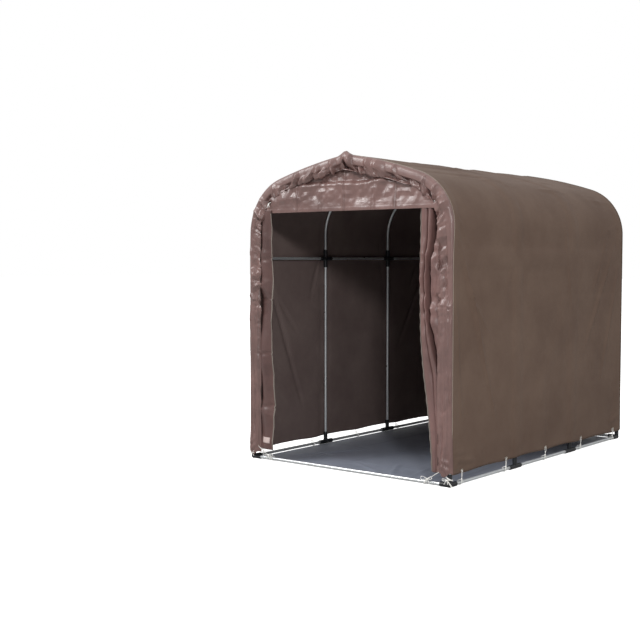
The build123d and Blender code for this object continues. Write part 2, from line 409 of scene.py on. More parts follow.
def moulded_plastic():
    """Black injection-moulded joint: fine sparked grain and a dull gloss."""
    material, tree, shader = new_material("black_moulded_plastic")
    place = node(tree, "ShaderNodeTexCoord").outputs["Object"]
    grain = node(tree, "ShaderNodeTexNoise", {"Scale": 700.0, "Detail": 3.0}, {"Vector": place})
    dust = node(tree, "ShaderNodeTexNoise", {"Scale": 9.0, "Detail": 4.0}, {"Vector": place})
    fade = node(tree, "ShaderNodeMix", {"data_type": "RGBA", 6: linear("#17181b"), 7: linear("#26282c")})
    tree.links.new(dust.outputs["Fac"], fade.inputs[0])
    tree.links.new(fade.outputs[2], shader.inputs["Base Color"])
    bump = node(
        tree, "ShaderNodeBump", {"Strength": 0.25, "Distance": 0.0003}, {"Height": grain.outputs["Fac"]}
    )
    tree.links.new(bump.outputs[0], shader.inputs["Normal"])
    shader.inputs["Roughness"].default_value = 0.42
    return material


def braided_cord():
    """White polyester cord: matt, with the small diagonal ridges of its braid."""
    material, tree, shader = new_material("white_braided_cord")
    place = node(tree, "ShaderNodeTexCoord").outputs["Object"]
    braid = node(
        tree,
        "ShaderNodeTexWave",
        {"bands_direction": "DIAGONAL", "Scale": wave_scale(0.003), "Distortion": 0.4},
        {"Vector": place},
    )
    fade = node(tree, "ShaderNodeMix", {"data_type": "RGBA", 6: linear("#eceae4"), 7: linear("#fbfaf7")})
    tree.links.new(braid.outputs["Fac"], fade.inputs[0])
    tree.links.new(fade.outputs[2], shader.inputs["Base Color"])
    bump = node(
        tree, "ShaderNodeBump", {"Strength": 0.5, "Distance": 0.0005}, {"Height": braid.outputs["Fac"]}
    )
    tree.links.new(bump.outputs[0], shader.inputs["Normal"])
    shader.inputs["Roughness"].default_value = 0.85
    return material


def ground_sheet():
    """Laminated polyethylene sheet: blue grey with a coarse tape weave and a dull gloss."""
    material, tree, shader = new_material("laminated_ground_sheet")
    place = node(tree, "ShaderNodeTexCoord").outputs["Object"]
    cloud = node(tree, "ShaderNodeTexNoise", {"Scale": 4.0, "Detail": 5.0}, {"Vector": place})
    fade = node(tree, "ShaderNodeMix", {"data_type": "RGBA", 6: linear("#7f8594"), 7: linear("#969ba8")})
    tree.links.new(cloud.outputs["Fac"], fade.inputs[0])
    tree.links.new(fade.outputs[2], shader.inputs["Base Color"])
    tape = node(
        tree,
        "ShaderNodeTexWave",
        {"bands_direction": "X", "Scale": wave_scale(0.004), "Distortion": 0.5},
        {"Vector": place},
    )
    bump = node(
        tree, "ShaderNodeBump", {"Strength": 0.2, "Distance": 0.0006}, {"Height": tape.outputs["Fac"]}
    )
    tree.links.new(bump.outputs[0], shader.inputs["Normal"])
    shader.inputs["Roughness"].default_value = 0.38
    return material


def plated_brass():
    """Nickel-plated brass eyelets: bright, with a slightly worn polish."""
    material, tree, shader = new_material("nickel_plated_eyelet")
    place = node(tree, "ShaderNodeTexCoord").outputs["Object"]
    wear = node(tree, "ShaderNodeTexNoise", {"Scale": 90.0, "Detail": 3.0}, {"Vector": place})
    rough = node(
        tree, "ShaderNodeMapRange", {"To Min": 0.2, "To Max": 0.42}, {"Value": wear.outputs["Fac"]}
    )
    tree.links.new(rough.outputs[0], shader.inputs["Roughness"])
    shader.inputs["Base Color"].default_value = linear("#c8c3b8")
    shader.inputs["Metallic"].default_value = 1.0
    return material


# The strip and the door hang in the band's shade, so theirs is a deeper tone of the same cloth
cover_cloth = coated_cloth("brown_coated_cloth", "#6d5a4e", "#635045", 0.60, 0.06, 0.22)
lining_cloth = coated_cloth("brown_cloth_reverse", "#776864", "#6a5b58", 0.7, 0.06, 0.2)
# The front pieces are the same brown cloth as the cover; their lighter, pinker tone is painted sheen from the
# light that the front faces
front_cloth_painted_sheen = coated_cloth("mauve_coated_cloth", "#7e605b", "#634a46", 0.38, 0.3, 0.85)
strip_cloth = coated_cloth("shaded_mauve_coated_cloth", "#654b47", "#4e3a38", 0.40, 0.25, 0.45)
door_cloth = coated_cloth("half_shaded_mauve_coated_cloth", "#7d5f5b", "#624a47", 0.40, 0.25, 0.5)
front_reverse = coated_cloth("mauve_cloth_reverse", "#54433f", "#493a37", 0.6, 0.1, 0.3)
# Pale binding on the cut edges; on the corner welt its paleness is partly a painted highlight
edge_binding_and_painted_highlight = plain_weave("woven_edge_binding", "#9b8f84", "#857a70", 0.003)
tape = plain_weave("woven_zip_tape", "#655c55", "#867e76", 0.0035)
patch_weave = plain_weave("woven_blank_patch", "#c9b7b2", "#b8a39e", 0.003)
steel = galvanised_steel()
plastic = moulded_plastic()
cord_fibre = braided_cord()
sheet_film = ground_sheet()
eyelet_metal = plated_brass()


def dress(piece, slot, *materials):
    """Give a piece its materials and let it ride on the frame; the slot is not used."""
    piece.data.materials.clear()
    for material in materials:
        piece.data.materials.append(material)
    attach(piece, "root")
    return piece


# Pipes and joints keep their own shape
for name, cad_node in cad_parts.items():
    if name.startswith(("hoop_", "side_purlin", "base_rail", "ridge_purlin")) or name == "door_bar":
        cad_node.data.materials.clear()
        cad_node.data.materials.append(steel)
    elif "joint" in name or "tees" in name or "clips" in name:
        cad_node.data.materials.clear()
        cad_node.data.materials.append(plastic)


# Cover over the sides and the roof: one sheet

cover_run = top_run + spring_height - hem_height
cover_rear = side_high.y
seam_lap = 0.004
roof_sag = 0.010
wall_sag = 0.005
shoulder_sag = 0.006
sink_limit = 0.007
near_pipe = 0.018
off_pipe = 0.080

# Folds pulled in the sides, as places along the shelter and up it: start, end, width and height
side_folds = [
    ((-1.06, 1.46), (-0.60, 0.28), 0.013, 0.0165),
    ((-1.03, 1.34), (-0.72, 0.66), 0.010, 0.0110),
    ((-0.98, 1.16), (-0.62, 0.74), 0.012, 0.0099),
    ((-1.07, 1.55), (-0.84, 1.22), 0.009, 0.0099),
    ((-1.09, 1.15), (-1.00, 0.35), 0.012, 0.0088),
    ((1.00, 1.40), (0.50, 0.60), 0.016, 0.0132),
    ((0.90, 1.46), (0.64, 1.02), 0.012, 0.0099),
    ((1.06, 1.25), (0.78, 0.38), 0.014, 0.0099),
    ((1.07, 1.52), (0.60, 1.38), 0.012, 0.0088),
    ((-0.30, 1.60), (-0.54, 0.98), 0.013, 0.0088),
    ((0.24, 1.56), (0.36, 0.90), 0.014, 0.0077),
    ((-0.28, 1.40), (-0.12, 1.36), 0.010, 0.0077),
    ((-1.11, 0.155), (-0.86, 0.125), 0.009, 0.0165),
    ((-1.11, 0.190), (-0.94, 0.180), 0.008, 0.0121),
    ((-1.11, 0.125), (-0.98, 0.100), 0.006, 0.0099),
    ((1.10, 0.180), (0.90, 0.130), 0.010, 0.0110),
]
# Slack pleats along the roof, as places along the shelter and down from the ridge
roof_folds = [
    ((-1.10, 0.28), (0.35, 0.33), 0.016, 0.0120),
    ((-1.08, 0.46), (-0.15, 0.51), 0.014, 0.0128),
    ((-0.95, 0.54), (0.30, 0.59), 0.013, 0.0096),
    ((-0.35, 0.60), (0.95, 0.65), 0.018, 0.0112),
    ((0.15, 0.42), (1.08, 0.47), 0.014, 0.0104),
    ((-0.90, 0.15), (0.10, 0.20), 0.014, 0.0072),
    ((0.35, 0.66), (1.08, 0.71), 0.013, 0.0096),
]
# Lines pressed into the cloth while it was packed
pressed_heights = [1.044, 0.520]
pressed_depths = [-0.74, 0.02, 0.76]
pressed_width = 0.016

strand = 0.0016
tie_places = [
    ties_low.y + strand + number * (ties_high.y - ties_low.y - 2 * strand) / 4 for number in range(5)
]


def seam_ahead(down):
    """How far in front of the front hoop the band is sewn to the cover: behind it over the roof."""
    return -0.014 + 0.020 * smooth(top_run - 0.2, top_run + 0.2, down)


def bay_sag(y):
    """0 on a hoop and 1 half way to the next."""
    bay = (y - front_hoop) / (rear_hoop - front_hoop) * bays
    part = bay - math.floor(bay)
    return 4 * part * (1 - part)


def off_pipes(y, z):
    """0 where a hoop or a side purlin carries the cloth and 1 a hand's width away."""
    nearest = min(abs(y - hoop) for hoop in hoops)
    return smooth(near_pipe, off_pipe, nearest) * smooth(near_pipe, off_pipe, abs(z - purlin_height))


def turned_hem(above):
    """How much further out a hem stands, where it is turned and sewn, than the cloth above it."""
    return 0.0008 * (1 - smooth(0.024, 0.027, above))


def cover_sag(y, down, upright):
    """Cloth sags between the hoops, most of all over the roof and the shoulder."""
    depth = roof_sag * (1 - upright) * smooth(0.0, 0.30, down) + wall_sag * upright
    depth += shoulder_sag * math.exp(-(((down - top_run) / 0.16) ** 2))
    return depth * bay_sag(y)


def cover_place(across, along):
    run = (across * 2 - 1) * cover_run
    point, out = arch(run)
    down = abs(run)
    side = 1 if run > 0 else -1
    above = point.z - hem_height
    cover_front = front_hoop - seam_ahead(down) + seam_lap
    y = cover_front + along * (cover_rear - cover_front)
    upright = smooth(top_run - 0.1, top_run + 0.15, down)
    edge = smooth(0.0, 0.10, min(y - cover_front, cover_rear - y))
    swell = folded(y, point.z, side_folds) + folded(y, down, roof_folds)
    swell -= 0.0030 * pressed(point.z, pressed_heights, pressed_width) * upright * edge
    swell -= 0.0026 * pressed(y, pressed_depths, pressed_width) * upright
    # Broad waves, small waves, and the flat facets of stiff cloth
    swell += 0.0035 * ripple(run * 1.7, y * 1.3, 3.1) * edge
    swell += 0.0015 * ripple(run * 6.0, y * 4.0, 7.7) * edge
    swell += 0.0028 * facets(run * 0.7 + y * 0.3, y, 0.26, 12.0) * edge
    # The hem waves, is pulled in and down at each tie, rises between them, and hangs lower at the rear
    nearest = min(abs(y - place) for place in tie_places)
    pucker = math.exp(-((nearest / 0.025) ** 2))
    swell += 0.0060 * smooth(0.40, 0.0, above) * upright * ripple(y * 5.5, point.z * 2.0, 1.3 + side * 9.0)
    swell += turned_hem(above) - 0.003 * pucker * smooth(0.06, 0.0, above)
    rise = 0.006 * smooth(0.0, 0.2, nearest) - 0.012 * smooth(-0.2, 1.1, y) - 0.008 * (1 - side)
    rise *= smooth(0.25, 0.0, above)
    # It lies on the pipes, and sinks no deeper between them than the joints allow
    moved = swell - cover_sag(y, down, upright) * edge
    moved = max(0.0, moved) + max(-sink_limit, min(0.0, moved)) * off_pipes(y, point.z)
    return point + out * (cover_outside - skin / 2 + moved) + Vector((0, y, rise))


cover_flat = (2 * cover_run, cover_rear - side_low.y)
cover = cloth("cover", 304, 156, cover_place, cover_flat)
thicken(cover, skin, inner=True)
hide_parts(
    "cover_side_left",
    "cover_side_right",
    "cover_shoulder_left",
    "cover_shoulder_right",
    "cover_roof_left",
    "cover_roof_right",
)
dress(cover, "brown_cover", cover_cloth, lining_cloth, edge_binding_and_painted_highlight)


# Rear panel

def gable_cloth(name, columns, rows, offset, low, y_place, edge_x):
    """Cloth that fills the arch above a level edge, bunched towards the upright sides."""

    def place(across, along):
        x = edge_x * math.sin((across * 2 - 1) * math.pi / 2)
        top = outline_height(x, offset)
        z = low + along * (top - low)
        return Vector((x, y_place(x, z, top), z))

    return cloth(name, columns, rows, place, (2 * edge_x, ridge_height - low))


rear_outside = back_high.y - 0.0008
rear_hollow = 0.003
rear_pressed = [-0.25, 0.25]
rear_half = half_width + cover_outside
rear_folds = [
    ((-0.66, 1.40), (-0.30, 0.55), 0.016, 0.0050),
    ((-0.60, 1.20), (-0.42, 0.50), 0.012, 0.0035),
    ((0.66, 1.40), (0.36, 0.62), 0.016, 0.0050),
    ((0.62, 1.15), (0.46, 0.36), 0.012, 0.0035),
    ((-0.10, 1.80), (0.06, 1.20), 0.014, 0.0030),
]


def back_y(x, z, top):
    inside = smooth(0.0, 0.15, min(half_width - abs(x), top - z))
    above = z - hem_height
    slack = 0.004 * ripple(x * 2.1, z * 1.4, 5.0) + 0.002 * ripple(x * 7.0, z * 2.0, 2.0)
    slack += folded(x, z, rear_folds)
    lines = 0.0015 * (pressed(x, rear_pressed, 0.012) + crease(z, pressed_heights[0], 0.012))
    wave = 0.005 * smooth(0.3, 0.0, above) * ripple(x * 6, 1.0, 4.0)
    return rear_outside + inside * (slack - rear_hollow - lines) + wave + turned_hem(above)


back = gable_cloth("rear_panel", 96, 100, cover_outside - 0.0008, hem_height, back_y, rear_half)
back.data.flip_normals()
thicken(back, skin, inner=True)
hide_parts("cover_back")
dress(back, "brown_cover", cover_cloth, lining_cloth, edge_binding_and_painted_highlight)


seam_inset = 0.011
seam_round = 0.0125


def rear_seam_place(across, along):
    """The taped seam that joins the rear panel to the sides and the roof."""
    run = (across * 2 - 1) * cover_run
    point, out = arch(run)
    turn = along * math.pi / 2
    offset = cover_outside - seam_inset + seam_round * math.cos(turn) ** 0.5
    behind = cover_outside - seam_inset + seam_round * math.sin(turn) ** 0.5
    return point + out * (offset + 0.0004 * ripple(run * 18, 0.0, 1.0)) + Vector((0, rear_hoop + behind, 0))


rear_seam = cloth("rear_seam", 300, 8, rear_seam_place, (2 * cover_run, 0.025))
thicken(rear_seam, 0.0008, inner=True)
dress(rear_seam, "brown_cover", cover_cloth, lining_cloth, edge_binding_and_painted_highlight)


# Gathered band round the entrance, rolled over the front hoop and drawn in by a cord in its hem

band_out = cover_outside + skin
band_reach = band_width + 0.001
band_run = top_run + spring_height - band_bottom
band_flat = 0.150
# Where its width turns from the outside to the roll, from the roll to the face and from the face to the hem
outside_end = 0.12
roll_end = 0.42
face_end = 0.90
hem_curl = 0.0075
# Gathers: long facets right across the band, and pinches at its drawn hem
gather_pitch = 0.042
gather_height = 0.0118
pinch_pitch = 0.024
pinch_height = 0.0070
# Lines pressed into the legs: height above the ground and depth
band_creases = [(1.022, 0.0060), (0.70, 0.0025), (0.343, 0.0015)]
# Folds at the foot, as places across the leg, from 0 to 1, and up it
foot_folds = [
    ((0.72, 0.0), (0.30, 0.24), 0.06, 0.016),
    ((0.74, 0.0), (0.62, 0.28), 0.06, 0.013),
    ((0.76, 0.0), (0.95, 0.18), 0.06, 0.013),
    ((0.10, 0.02), (0.78, 0.05), 0.014, 0.010),
    ((0.05, 0.060), (0.70, 0.080), 0.014, 0.009),
]


def band_section(part, roll, seam):
    """Outward offset, forward offset and facing of the band, from its seam to its drawn hem."""
    depth = 0.015 + 0.011 * roll
    drop = 0.016 + 0.030 * roll
    if part < outside_end:
        return band_out, seam + (band_out - depth - seam) * part / outside_end, (1.0, 0.0)
    if part < roll_end:
        turn = (part - outside_end) / (roll_end - outside_end) * math.pi / 2
        return (
            band_out - drop + drop * math.cos(turn) ** 0.8,
            band_out - depth + depth * math.sin(turn) ** 0.8,
            (math.cos(turn), math.sin(turn)),
        )
    if part < face_end:
        share = (part - roll_end) / (face_end - roll_end)
        return band_out - drop - share * (band_reach - drop - hem_curl), band_out, (0.0, 1.0)
    turn = (part - face_end) / (1 - face_end) * math.pi
    return (
        band_out - band_reach + hem_curl - hem_curl * math.sin(turn),
        band_out - hem_curl + hem_curl * math.cos(turn),
        (-math.sin(turn), math.cos(turn)),
    )


def pulled(down):
    """How strongly the band is gathered: fully round the arch, fading out down the legs."""
    shoulder_share = smooth(top_run - 0.10, top_run + 0.06, down)
    leg_share = smooth(top_run + 0.2, top_run + 0.5, down)
    return 1 - 0.55 * shoulder_share - 0.40 * leg_share


def gather(run, inwards):
    """Height of the gathers, which lean down the arch and are deeper on its right half."""
    side = 1 if run > 0 else -1
    lean = run - side * 0.045 * inwards + 0.012 * ripple(run * 6.0, inwards * 2.0, 5.5)
    patchy = (1.0 + 0.4 * ripple(run * 3.5, 2.0, 3.0)) * (1.3 + 0.4 * side)
    height = gather_height * patchy * (0.8 + facets(lean, inwards * 0.034, gather_pitch, 2.0))
    height += pinch_height * facets(lean, inwards * 0.028, pinch_pitch, 4.0) * smooth(0.0, 0.5, inwards)
    height += 0.0045 * smooth(0.4, 1.0, inwards) * (1 - 3.0 * abs(ripple(lean * 45.0, inwards * 0.8, 6.5)))
    height += 0.0025 * smooth(0.75, 1.0, inwards) * (1 - 2.6 * abs(ripple(lean * 78.0, 3.0, 1.5)))
    broad = 0.005 * ripple(run * 5.0, inwards * 1.5, 8.5)
    return pulled(abs(run)) * height + broad


def leg_relief(z, inwards, down, side):
    """Upright folds and crumples of a leg, with more crumples on its upper half."""
    upper = 1 - smooth(top_run + 0.45, top_run + 0.65, down)
    height = 0.0045 * upper * facets(z, inwards * 0.06, 0.040, 8.0 + side)
    height += 0.0085 * (1 - 2.4 * abs(ripple(z * 1.1, inwards * 3.6, side * 5.0 + 1.0)))
    height += 0.0025 * ripple(z * 1.6, inwards * 6.0, side * 3.0 + 7.0)
    height += 0.0022 * facets(z, inwards * 0.10, 0.075, 20.0 + side)
    height += 0.0011 * facets(z, inwards * 0.10, 0.024, 30.0 + side)
    return height * smooth(top_run + 0.05, top_run + 0.25, down)


def worn_creases(z, inwards, side):
    """Pressed lines across a leg, each a ridge above a groove, sharp in places and worn away in others."""
    height = 0.0
    for line, depth in band_creases:
        level = line + 0.010 * ripple(inwards * 3.0, line * 9.0, side)
        worn = depth * (0.4 + 0.9 * ripple(inwards * 3.0, line * 5.0, side + 3.0))
        height += worn * (crease(z, level, 0.011) - 0.8 * crease(z, level - 0.014, 0.011))
    return height


def band_place(across, along):
    run = (across * 2 - 1) * band_run
    point, out = arch(run)
    down = abs(run)
    side = 1 if run > 0 else -1
    above = point.z - band_bottom
    roll = 1 - smooth(top_run - 0.22, top_run + 0.20, down)
    offset, ahead, facing = band_section(along, roll, seam_ahead(down))
    face = smooth(0.13 - 0.05 * side * roll, 0.34 - 0.06 * side * roll, along)
    inwards = smooth(0.25, 0.95, along)
    height = gather(run, inwards) + leg_relief(point.z, inwards, down, side)
    height += worn_creases(point.z, inwards, side)
    belly = math.sin(math.pi * min(1.0, max(0.0, (along - 0.25) / 0.65)))
    height = height * face + (0.003 + 0.006 * roll) * belly
    # The cloth lies on the hoop, its joints and the ends of the door bar, and is free towards the doorway
    free = smooth(0.48, 0.66, along) * smooth(0.02, 0.06, abs(point.z - bar_height))
    height = max(height, -0.0004 - 0.030 * free)
    foot = smooth(0.30, 0.0, above)
    height += foot * folded(inwards, above, foot_folds)
    height += 0.006 * foot * face * ripple(inwards * 4.0, point.z * 9.0, 2.0 * side)
    peak = 0.020 * max(0.0, 1 - down / 0.060) ** 1.5 * (1 - 0.75 * inwards) * smooth(0.0, outside_end, along)
    drawn = 0.0045 * ripple(run * 11.0, 4.4, 0.0) * inwards * (1 - smooth(top_run, top_run + 0.3, down))
    offset += 0.5 * height * facing[0] + peak + drawn + 0.006 * foot * (1 - face)
    ahead += height * facing[1]
    rise = 0.012 * smooth(0.05, 0.0, above) * (math.cos(inwards * math.pi * 2.2) - 0.4) * face
    rise -= 0.016 * (1 - side) * smooth(0.25, 0.0, above)
    return point + out * offset + Vector((0, front_hoop - ahead, rise))


band = cloth("entrance_band", 1150, 34, band_place, (2 * band_run, band_flat))
band.data.flip_normals()
thicken(band, skin, inner=True)
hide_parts("band_leg_left", "band_leg_right", "band_arch_left", "band_arch_right")
dress(band, "front_cover", front_cloth_painted_sheen, front_reverse, front_cloth_painted_sheen)


def welt_place(across, along):
    """The rolled seam allowance where the band joins the cover, sunk into the cloth at the feet. It is a real
    seam, and its pale binding colour is partly a painted highlight of the lit rounded corner.
    """
    run = (across * 2 - 1) * band_run
    point, out = arch(run)
    angle = along * 2 * math.pi
    firm = smooth(0.03, 0.30, point.z - band_bottom)
    radius = 0.0012 + 0.0010 * firm
    offset = band_out - 0.0020 + 0.0024 * firm + radius * math.cos(angle)
    ahead = seam_ahead(abs(run)) - radius * math.sin(angle)
    return point + out * offset + Vector((0, front_hoop - ahead, 0))


welt = cloth("corner_welt", 340, 8, welt_place, (2 * band_run, 0.014))
made = bmesh.new()
made.from_mesh(welt.data)
bmesh.ops.remove_doubles(made, verts=made.verts, dist=0.00001)
bmesh.ops.recalc_face_normals(made, faces=made.faces)
made.to_mesh(welt.data)
made.free()
# The welt's pale binding is partly a painted highlight along the lit corner
dress(welt, "front_cover", edge_binding_and_painted_highlight)


# Panel over the doorway, sewn inside the band, with a loose upper fold

valance_hem = valance_low.z
valance_edge = cover_outside - band_width + 0.020
valance_front = valance_low.y - 0.001
valance_creases = [-0.37, -0.19, -0.006, 0.207, 0.363]
valance_fold = 0.165
bar_clear = 0.0022


def valance_y(x, z, top):
    up = z - valance_hem
    fold_at = valance_fold + 0.012 * ripple(x * 6.0, 0.0, 4.0)
    recess = 0.016 * smooth(fold_at - 0.004, fold_at + 0.020, up) - 0.004 * crease(up, fold_at - 0.010, 0.030)
    lines = sum(
        0.0060 * (crease(x, line, 0.010) - crease(x, line + 0.012, 0.012)) * (1 if number % 2 else -1)
        for number, line in enumerate(valance_creases)
    )
    uneven = 0.9 + 0.6 * ripple(x * 2.5, z * 4.0, 9.0)
    slack = -0.0065 * facets(x, z * 0.75, 0.062, 1.0) * uneven - 0.0030 * facets(x, z, 0.030, 3.0)
    slack += 0.006 * ripple(x * 3.0, z * 3.0, 6.3)
    hem = -0.0010 * (1 - smooth(0.018, 0.026, up))
    billow = -0.004 * math.sin(math.pi * min(1.0, max(0.0, up / 0.20)))
    y = valance_front + recess + lines + slack * smooth(0.0, 0.10, up) + hem + billow
    # It stays in front of the door bar, and is free above it
    return min(y, bar_low.y - bar_clear + 0.06 * smooth(bar_high.z, bar_high.z + 0.07, z))


valance_half = shoulder_x + math.sqrt(
    (shoulder_radius + valance_edge) ** 2 - (valance_hem - spring_height) ** 2
)
valance = gable_cloth("entrance_valance", 300, 76, valance_edge, valance_hem, valance_y, valance_half)
thicken(valance, skin, inner=True)
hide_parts("door_valance")
dress(valance, "front_cover", front_cloth_painted_sheen, front_reverse, front_reverse)


# Fixed strip with one half of the zip, left of the doorway

strip_bottom = strip_low.z
strip_top = strip_high.z + 0.02
strip_flat = (strip_high.x - strip_low.x, strip_top - strip_bottom)
strip_creases = [1.274, 1.022, 0.68, 0.343]


def strip_place(across, along, forward=0.0):
    z = strip_bottom + along * (strip_top - strip_bottom)
    pinched = pressed(z, strip_creases, 0.020)
    lean = 0.012 * smooth(0.9, 0.2, z)
    right = strip_high.x + lean + 0.003 * ripple(z * 5.0, 7.0, 1.0) - 0.003 * pinched
    x = strip_low.x + across * (right - strip_low.x)
    recess = 0.022 * max(0.0, 1 - across) ** 1.2
    belly = -0.012 * math.sin(math.pi * min(1.0, across * 1.1)) * (1 - 0.8 * pinched)
    sweep = 0.010 * math.sin(across * 4.0 + z * 8.0 + 2.0 * ripple(z * 2.0, 3.0, 5.0))
    wave = 0.010 * ripple(across * 2.2, z * 2.4, 2.2) + 0.0070 * facets(z, across * 0.07, 0.085, 6.0)
    lines = sum(crease(z, line, 0.008) - 0.7 * crease(z, line + 0.012, 0.010) for line in strip_creases)
    y = strip_low.y + 0.004 + recess + belly + sweep * across + wave - 0.004 * lines
    return Vector((x, y - forward, z))


strip = cloth("door_side_strip", 30, 260, strip_place, strip_flat)
thicken(strip, skin, inner=True)
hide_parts("door_strip")
dress(strip, "front_cover", strip_cloth, front_reverse, front_reverse)


def strip_tape_place(across, along):
    """Half of the zip, on the strip's free edge."""
    return strip_place(0.94 + 0.07 * across, along * 0.985, 0.0018)


strip_tape = cloth("strip_zip_tape", 4, 220, strip_tape_place, (0.015, strip_top - strip_bottom))
thicken(strip_tape, 0.0010)
dress(strip_tape, "front_cover", tape)


patch_height = 0.114
patch_flat = (0.060, 0.035)


def patch_place(across, along):
    height = patch_height + 0.036 * along - strip_bottom
    return strip_place(0.30 + 0.52 * across, height / (strip_top - strip_bottom), 0.0022)


patch = cloth("blank_patch", 8, 5, patch_place, patch_flat)
thicken(patch, 0.0009)
dress(patch, "front_cover", patch_weave)


# Door, gathered to the right and tucked in behind the band

curtain_top = curtain_high.z
curtain_bottom = curtain_low.z
curtain_middle = (curtain_low.y + curtain_high.y) / 2
curtain_depth = (curtain_high.y - curtain_low.y) / 2
door_width = 0.34
door_flat = (door_width, curtain_top - curtain_bottom)
# How far forward each fold's front comes, and where in the first fold the free edge is
fold_fronts = [1.0, 0.8, 0.5]
first_turn = -1.2


def curtain_left(z):
    """The free edge hangs straight down and is tucked in towards the bottom."""
    return curtain_low.x + 0.008 + 0.084 * smooth(0.95, 0.05, z) + 0.003 * ripple(z * 3.0, 1.0, 2.0)


def curtain_gaps(z):
    """Middle and width of each gap beside the three folds at a height, as shares of the door's width."""
    # The wide gap wanders to the band on its way down, where it closes
    wide_at = 0.40 + 0.50 * smooth(1.02, 0.48, z) + 0.22 * smooth(1.20, 1.50, z)
    wide_at += 0.03 * ripple(z * 4.0, 1.0, 1.0)
    wide = 0.16 * smooth(0.22, 0.50, z) * (1 + 0.3 * ripple(z * 7.0, 3.0, 1.0))
    narrow_at = 0.55 * wide_at + 0.02 * ripple(z * 5.0, 5.0, 1.0)
    narrow = 0.04 * smooth(0.75, 1.15, z)
    return [0.0, narrow_at, wide_at, 1.0], [0.0, narrow, wide, 0.0]


def curtain_place(across, along):
    """Three folds round their fronts, with a narrow gap and a wide one between them."""
    z = curtain_bottom + along * (curtain_top - curtain_bottom)
    middles, gaps = curtain_gaps(z)
    # One turn of phase is one fold, with its front at 0 and the gaps' backs at half a turn either way
    phase = first_turn + across * (len(fold_fronts) * 2 * math.pi - first_turn - math.pi)
    fold = min(len(fold_fronts) - 1, int((phase + math.pi) / (2 * math.pi)))
    turn = phase - fold * 2 * math.pi
    fold_left = middles[fold] + gaps[fold] / 2
    fold_right = middles[fold + 1] - gaps[fold + 1] / 2
    behind = max(0.0, abs(turn) - math.pi / 2) / (math.pi / 2)
    if turn > math.pi / 2:
        share = fold_right + gaps[fold + 1] / 2 * behind
    elif turn < -math.pi / 2:
        share = fold_left - gaps[fold] / 2 * behind
    else:
        share = fold_left + (fold_right - fold_left) * (1 + math.sin(turn)) / 2
    left = curtain_left(z)
    x = left + (curtain_high.x - left) * share
    swing = math.cos(turn)
    if swing > 0:
        reach = curtain_depth * (1 - 0.6 * smooth(0.70, 0.35, z)) * fold_fronts[fold]
    else:
        reach = curtain_depth * (0.3 + 26.0 * (gaps[fold] if turn < 0 else gaps[fold + 1]))
    y = curtain_middle - reach * swing - 0.006 * smooth(0.7, 0.3, z)
    # The free edge is sewn to its tape, and the rest crumples where it is bunched
    held = smooth(0.0, 0.08, across)
    bunched = smooth(1.45, 1.25, z) * smooth(0.70, 0.95, z)
    y += held * (bunched * 0.007 * facets(z, x, 0.040, 5.0) + 0.005 * facets(z, x * 3.0, 0.14, 7.0))
    return Vector((x, y, z))


curtain = cloth("door_gathered", 200, 170, curtain_place, door_flat)
thicken(curtain, skin, inner=True)
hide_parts("door_curtain")
dress(curtain, "front_cover", door_cloth, front_reverse, front_reverse)


def curtain_tape_place(across, along):
    """The other half of the zip, wavy along the door's free edge."""
    point = curtain_place(0.0, along)
    wave = 0.0025 * math.sin(point.z * 90.0) + 0.003 * ripple(point.z * 9.0, 1.0, 1.0)
    return point + Vector((-0.006 + 0.008 * across, -0.0020 + wave * (1 - across), 0))


curtain_tape = cloth("door_zip_tape", 4, 240, curtain_tape_place, (0.013, curtain_top - curtain_bottom))
thicken(curtain_tape, 0.0010)
dress(curtain_tape, "front_cover", tape)


# Ground sheet with its fold lines

floor_crease = 0.003
floor_creases_x = [-0.45, -0.12, 0.22, 0.52]
floor_creases_y = [-0.80, -0.35, 0.12, 0.60]
floor_folds = [
    ((0.30, -1.06), (0.12, -0.70), 0.014, 0.007),
    ((0.42, -1.08), (0.34, -0.66), 0.012, 0.006),
    ((0.54, -1.07), (0.52, -0.62), 0.012, 0.006),
    ((0.20, -1.02), (-0.14, -0.82), 0.012, 0.005),
    ((0.66, -1.00), (0.60, -0.40), 0.012, 0.005),
    ((-0.62, -0.90), (-0.30, -0.30), 0.014, 0.005),
    ((-0.10, -0.20), (0.30, 0.40), 0.016, 0.005),
]


def floor_place(across, along):
    x = floor_low.x + across * (floor_high.x - floor_low.x)
    y = floor_low.y + along * (floor_high.y - floor_low.y)
    edge = smooth(0.0, 0.03, min(across, 1 - across, along, 1 - along))
    raised = floor_crease * (pressed(x, floor_creases_x, 0.018) + pressed(y, floor_creases_y, 0.018))
    raised += folded(x, y, floor_folds)
    raised += 0.005 * abs(ripple(x * 3.5, y * 3.5, 1.0))
    raised += 0.003 * abs(ripple(x * 9.0 + y * 7.0, y * 2.0, 4.0))
    return Vector((x, y, floor_high.z - 0.0012 + edge * raised))


floor_flat = (floor_high.x - floor_low.x, floor_high.y - floor_low.y)
ground = cloth("ground_sheet", 130, 190, floor_place, floor_flat)
thicken(ground, 0.001)
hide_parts("floor_sheet")
dress(ground, "floor_sheet", sheet_film)


# Tie cords: doubled, from an eyelet in the hem round the base rail, with a knot

wrap = pipe_radius + 0.0022
eyelet_up = ties_high.z - 0.001 - base_height
eyelet_radius = 0.0062
eyelet_wire = 0.0013
# A slanting tie's knot is a quarter of the way along its slant
knot_up = 0.021
knot_share = 0.26


